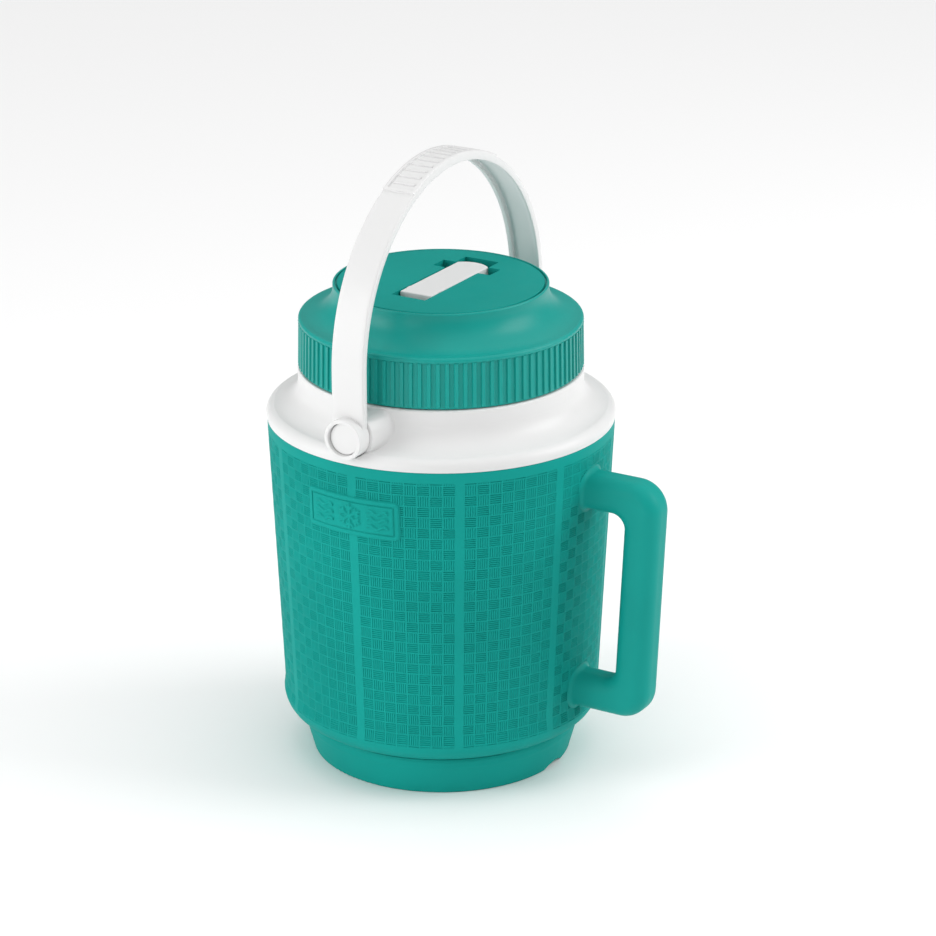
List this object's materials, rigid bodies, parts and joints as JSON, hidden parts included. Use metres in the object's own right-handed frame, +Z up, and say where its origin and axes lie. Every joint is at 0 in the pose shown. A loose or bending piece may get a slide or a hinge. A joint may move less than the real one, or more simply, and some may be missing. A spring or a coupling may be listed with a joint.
{
  "type": "water jug",
  "caption": "Insulated water jug with a screw lid, a fold-down drinking spout, a swinging carrying bail and a side pouring handle.",
  "frame": {"origin": "centre of the foot ring, in the plane that the jug stands on", "axes": "+Z up the jug's axis to the top of the bail; +X towards the pouring handle; -Y towards the badge, and the bail's pivots lie along Y"},
  "size_m": [0.2333, 0.202, 0.3426],
  "materials": {
    "shell_teal": "satin moulded polyethylene, teal",
    "handle_teal": "satin moulded polyethylene, teal",
    "lid_teal": "semi-gloss moulded polypropylene, teal",
    "collar_white": "satin moulded polypropylene, white",
    "bail_white": "semi-gloss moulded polypropylene, white",
    "spout_white": "satin moulded polypropylene, pale grey-white",
    "liner_white": "food-grade polyethylene, natural white",
    "foam": "rigid closed-cell insulating foam, straw coloured",
    "seal_rubber": "translucent grey silicone"
  },
  "bodies": {
    "jug": {"outer_shell": "shell_teal", "base_cup": "shell_teal", "foam_fill_plug": "shell_teal", "side_handle": "handle_teal", "inner_liner": "liner_white", "body_foam": "foam", "liner_seal_ring": "seal_rubber", "shoulder_collar": "collar_white", "pivot_stud_front": "bail_white", "pivot_stud_rear": "bail_white"},
    "bail": {"bail_handle": "bail_white"},
    "lid_carrier": {"lid_gasket": "seal_rubber"},
    "lid": {"lid_shell": "lid_teal", "lid_top_disc": "lid_teal", "lid_inner_plug": "liner_white", "lid_foam": "foam", "port_grommet": "seal_rubber", "spout_seat_seal": "seal_rubber", "vent_valve": "seal_rubber"},
    "spout": {"flip_spout": "spout_white"}
  },
  "joints": [
    {"name": "bail_swing", "type": "hinge", "parent": "jug", "child": "bail", "pos_m": [0, 0, 0.211], "axis": [0, 1, 0], "range_deg": [-78, 78]},
    {"name": "lid_lift", "type": "slide", "parent": "jug", "child": "lid_carrier", "axis": [0, 0, 1], "range_m": [0, 0.0136]},
    {"name": "lid_turn", "type": "hinge", "parent": "lid_carrier", "child": "lid", "pos_m": [0, 0, 0.25], "axis": [0, 0, 1], "range_deg": [0, 810]},
    {"name": "spout_flip", "type": "hinge", "parent": "lid", "child": "spout", "pos_m": [0, -0.0175, 0.2625], "axis": [1, 0, 0], "range_deg": [0, 90]}
  ],
  "couplings": [
    {"joint": "lid_lift", "follows": "lid_turn", "m_per_rad": 0.00095493}
  ]
}
